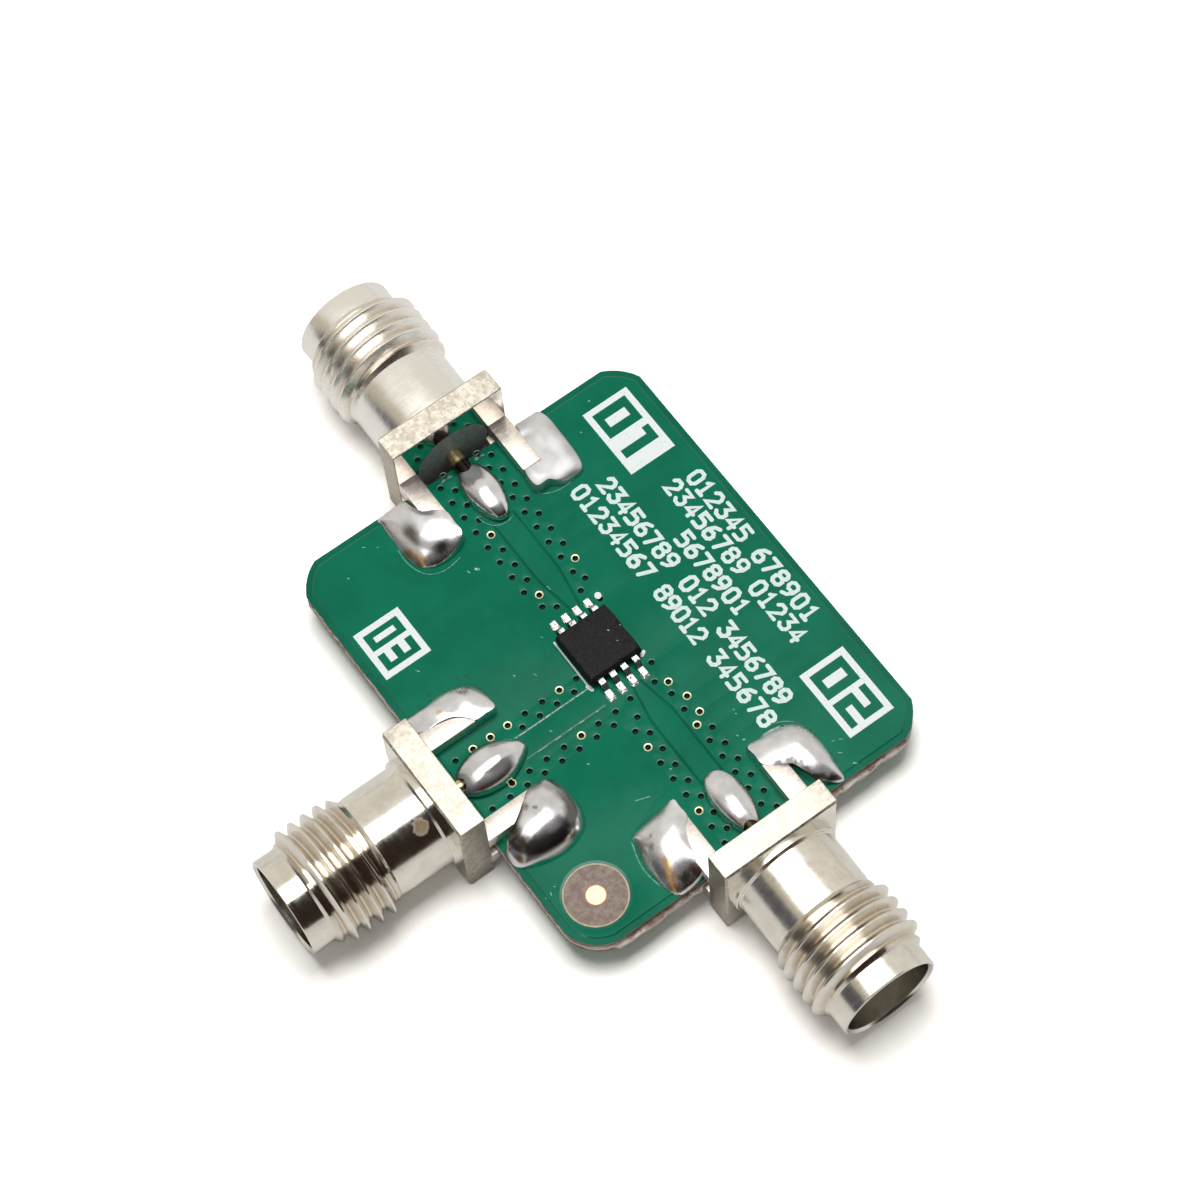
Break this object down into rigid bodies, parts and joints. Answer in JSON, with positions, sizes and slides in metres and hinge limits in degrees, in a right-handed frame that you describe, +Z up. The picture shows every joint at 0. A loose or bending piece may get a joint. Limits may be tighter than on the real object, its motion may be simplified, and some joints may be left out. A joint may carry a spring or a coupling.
{
  "type": "rf mixer module",
  "caption": "Small green circuit board that mixes radio signals: a black chip in its middle and screw-on coaxial jacks soldered to its edges.",
  "frame": {"origin": "centre of the whole outline, on the surface that the module stands on with its three flanges", "axes": "+X from the LO jack to the RF jack, along the board's long side; -Y the way the IF jack points; +Z up through the board, towards the chip"},
  "size_m": [0.044, 0.0296, 0.0063],
  "materials": {
    "board_lacquer": "green solder lacquer over glass laminate, glossy",
    "copper_dot": "gold-plated copper, flat",
    "nickel_plate": "nickel-plated turned and milled brass, bright",
    "white_insulator": "pale grey fluoropolymer, waxy",
    "gold_plate": "gold-plated, polished",
    "solder": "wetted solder, shiny with dull patches",
    "chip_plastic": "moulded black epoxy, matte",
    "tinned_lead": "tinned copper, satin"
  },
  "bodies": {
    "root": {"circuit_board": "board_lacquer", "fiducial_dot": "copper_dot", "lo_jack_body": "nickel_plate", "rf_jack_body": "nickel_plate", "if_jack_body": "nickel_plate", "lo_jack_insulator": "white_insulator", "rf_jack_insulator": "white_insulator", "if_jack_insulator": "white_insulator", "lo_jack_contact": "gold_plate", "rf_jack_contact": "gold_plate", "if_jack_contact": "gold_plate", "lo_pin_solder": "solder", "rf_pin_solder": "solder", "if_pin_solder": "solder", "chip_lead_solder": "solder", "lo_leg_solder_top_rear": "solder", "lo_leg_solder_top_front": "solder", "lo_leg_solder_under_rear": "solder", "lo_leg_solder_under_front": "solder", "rf_leg_solder_top_rear": "solder", "rf_leg_solder_top_front": "solder", "rf_leg_solder_under_rear": "solder", "rf_leg_solder_under_front": "solder", "if_leg_solder_top_left": "solder", "if_leg_solder_top_right": "solder", "if_leg_solder_under_left": "solder", "if_leg_solder_under_right": "solder", "chip_body": "chip_plastic", "chip_lead_1": "tinned_lead", "chip_lead_2": "tinned_lead", "chip_lead_3": "tinned_lead", "chip_lead_4": "tinned_lead", "chip_lead_5": "tinned_lead", "chip_lead_6": "tinned_lead", "chip_lead_7": "tinned_lead", "chip_lead_8": "tinned_lead"}
  },
  "joints": []
}
